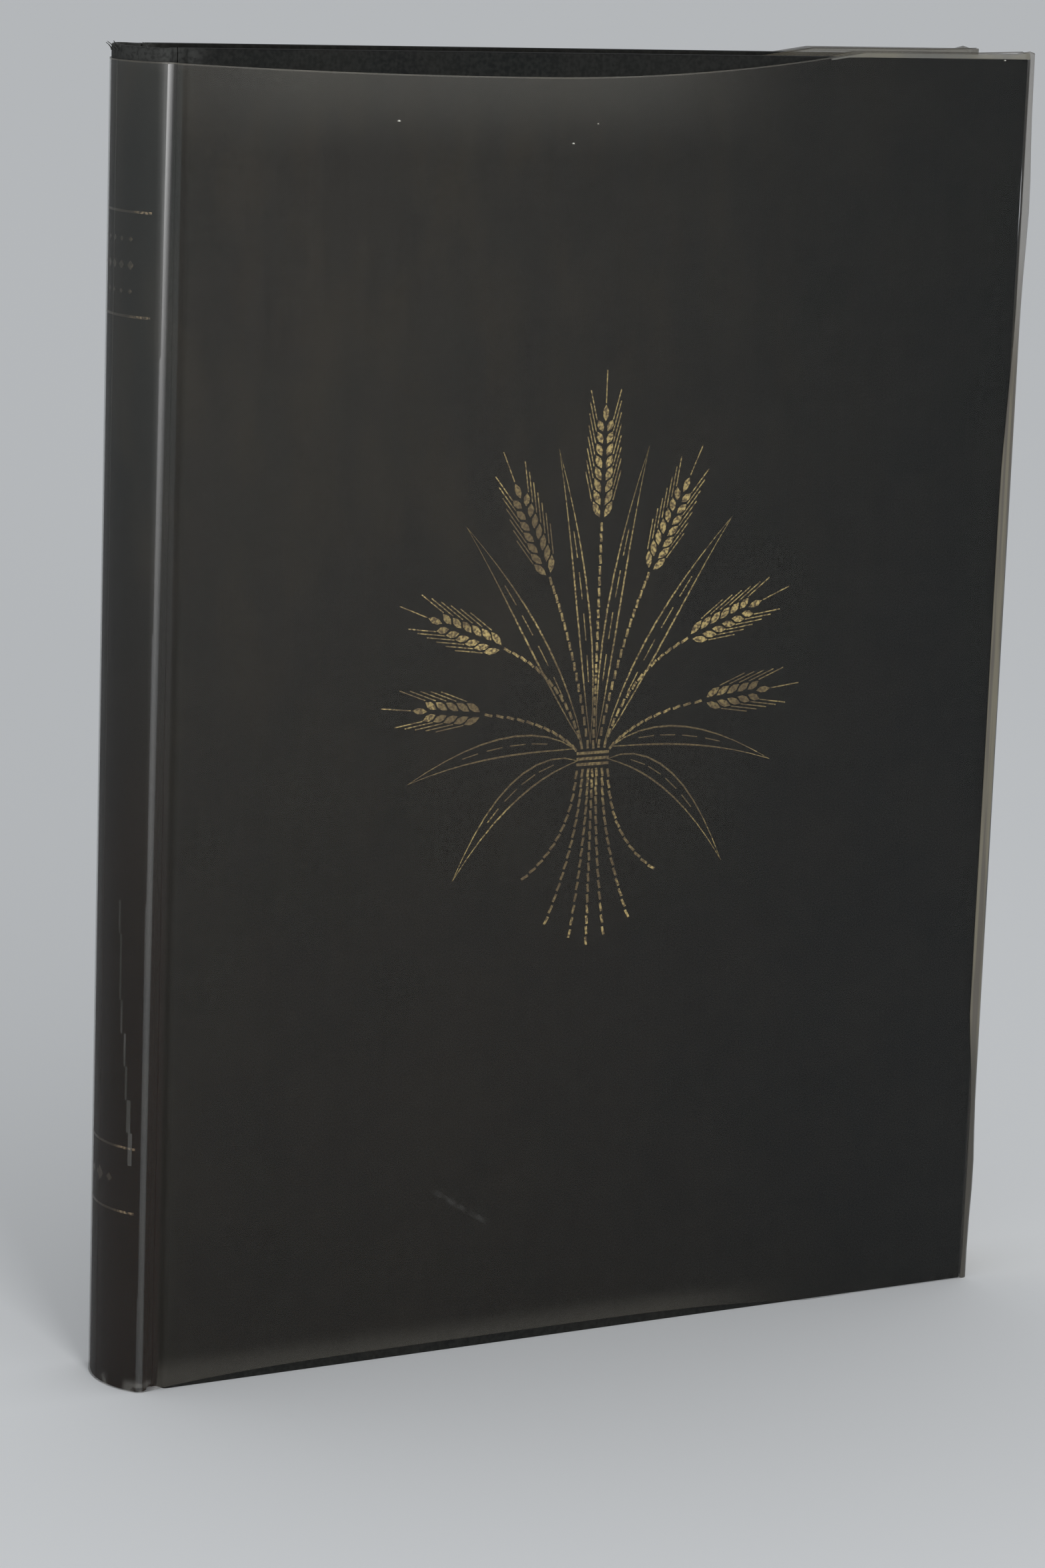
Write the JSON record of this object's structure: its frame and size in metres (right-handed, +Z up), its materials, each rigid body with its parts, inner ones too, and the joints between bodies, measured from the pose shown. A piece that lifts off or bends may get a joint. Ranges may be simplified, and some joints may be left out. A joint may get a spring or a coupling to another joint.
{
  "type": "hardback book",
  "caption": "Tall cloth-bound hardback book with a rounded spine, pressed joint grooves, gilt ornament and a clear film jacket; both covers open.",
  "frame": {"origin": "on the standing surface, under the middle of the closed book", "axes": "+Z up from tail to head, +X from the spine towards the fore-edge, -Y out of the front cover"},
  "size_m": [0.2426, 0.0274, 0.3194],
  "materials": {
    "case_cloth": "matt book cloth, charcoal",
    "clear_film": "clear, slightly hazed and yellowed film",
    "gold_foil": "stamped gold foil, slightly worn",
    "board_card": "grey pulp board",
    "page_paper": "cut edges of aged cream paper",
    "endpaper": "uncoated cream paper",
    "lining_paper": "brown lining paper",
    "mull_gauze": "open cotton gauze, glued",
    "band_cloth": "woven band, two colours"
  },
  "bodies": {
    "text_body": {"text_block": "page_paper", "front_flyleaf": "endpaper", "rear_flyleaf": "endpaper", "mull": "mull_gauze", "back_lining": "lining_paper", "head_band": "band_cloth", "tail_band": "band_cloth", "spine_stiffener": "board_card", "spine_cloth": "case_cloth", "spine_film": "clear_film", "spine_gilt": "gold_foil"},
    "front_cover": {"front_board": "board_card", "front_cloth": "case_cloth", "front_pastedown": "endpaper", "front_film": "clear_film", "front_gilt": "gold_foil"},
    "rear_cover": {"rear_board": "board_card", "rear_cloth": "case_cloth", "rear_pastedown": "endpaper", "rear_film": "clear_film"}
  },
  "joints": [
    {"name": "front_cover_hinge", "type": "hinge", "parent": "text_body", "child": "front_cover", "pos_m": [-0.11131, -0.0139, 0.159], "axis": [0, 0, -1], "range_deg": [0, 180]},
    {"name": "rear_cover_hinge", "type": "hinge", "parent": "text_body", "child": "rear_cover", "pos_m": [-0.11131, 0.0139, 0.159], "axis": [0, 0, 1], "range_deg": [0, 180]}
  ]
}
